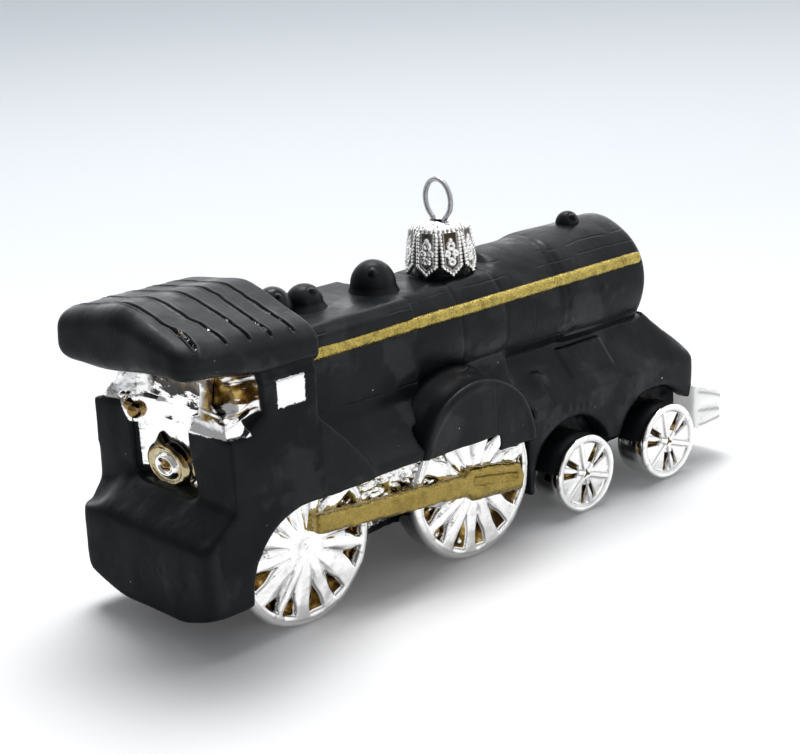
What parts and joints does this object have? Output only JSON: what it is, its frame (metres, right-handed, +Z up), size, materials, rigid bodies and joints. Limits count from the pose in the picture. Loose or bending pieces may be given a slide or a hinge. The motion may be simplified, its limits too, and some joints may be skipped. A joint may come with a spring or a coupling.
{
  "type": "glass steam locomotive christmas ornament",
  "caption": "Blown-glass tree ornament shaped as a steam locomotive, silvered and painted black and gold, with a turning metal cap and wire ring.",
  "frame": {"origin": "on the floor under the middle of the ornament's box", "axes": "+X to the locomotive's front, +Z up, -Y its right side"},
  "size_m": [0.148, 0.0468, 0.0734],
  "materials": {
    "black_paint": "matte black paint over silvered glass",
    "silvered_glass": "mirror silver seen through clear glass",
    "gold_paint": "gold paint",
    "cap_metal": "stamped bright metal",
    "wire": "drawn spring wire"
  },
  "bodies": {
    "glass": {"backhead_gauge": "silvered_glass", "backhead_knob": "silvered_glass", "bell_dome": "black_paint", "block_deck": "black_paint", "boiler_barrel": "black_paint", "boiler_cradle": "black_paint", "cab_core": "silvered_glass", "cab_roof": "black_paint", "cab_side_left": "black_paint", "cab_side_right": "black_paint", "cab_window_left": "silvered_glass", "cab_window_right": "silvered_glass", "cylinder_block_left": "black_paint", "cylinder_block_right": "black_paint", "firebox_casing": "black_paint", "front_driver_left": "silvered_glass", "front_driver_right": "silvered_glass", "handrail_left": "gold_paint", "handrail_right": "gold_paint", "headlamp": "black_paint", "leading_wheel_1_left": "silvered_glass", "leading_wheel_1_right": "silvered_glass", "leading_wheel_2_left": "silvered_glass", "leading_wheel_2_right": "silvered_glass", "neck": "black_paint", "pilot": "silvered_glass", "rear_apron": "black_paint", "rear_driver_left": "silvered_glass", "rear_driver_right": "silvered_glass", "rear_post_left": "black_paint", "rear_post_right": "black_paint", "rear_splasher_left": "black_paint", "rear_splasher_right": "black_paint", "running_board": "black_paint", "sand_dome": "black_paint", "side_rod_left": "gold_paint", "side_rod_right": "gold_paint", "smokebox": "black_paint", "smokebox_door": "black_paint", "smokebox_saddle": "black_paint", "splasher_left": "black_paint", "splasher_right": "black_paint", "steam_dome": "black_paint", "underframe": "silvered_glass", "valve_dome": "black_paint", "valve_gear_left": "silvered_glass", "valve_gear_right": "silvered_glass"},
    "cap": {"cap_crown": "cap_metal"},
    "wire": {"hanger_wire": "wire"}
  },
  "joints": [
    {"name": "cap_turn", "type": "hinge", "parent": "glass", "child": "cap", "pos_m": [0.0066, 0, 0.0626], "axis": [0, 0, 1], "continuous": true},
    {"name": "wire_tilt", "type": "hinge", "parent": "cap", "child": "wire", "pos_m": [0.0066, 0, 0.0634], "axis": [0, 1, 0], "range_deg": [-10, 10]}
  ]
}
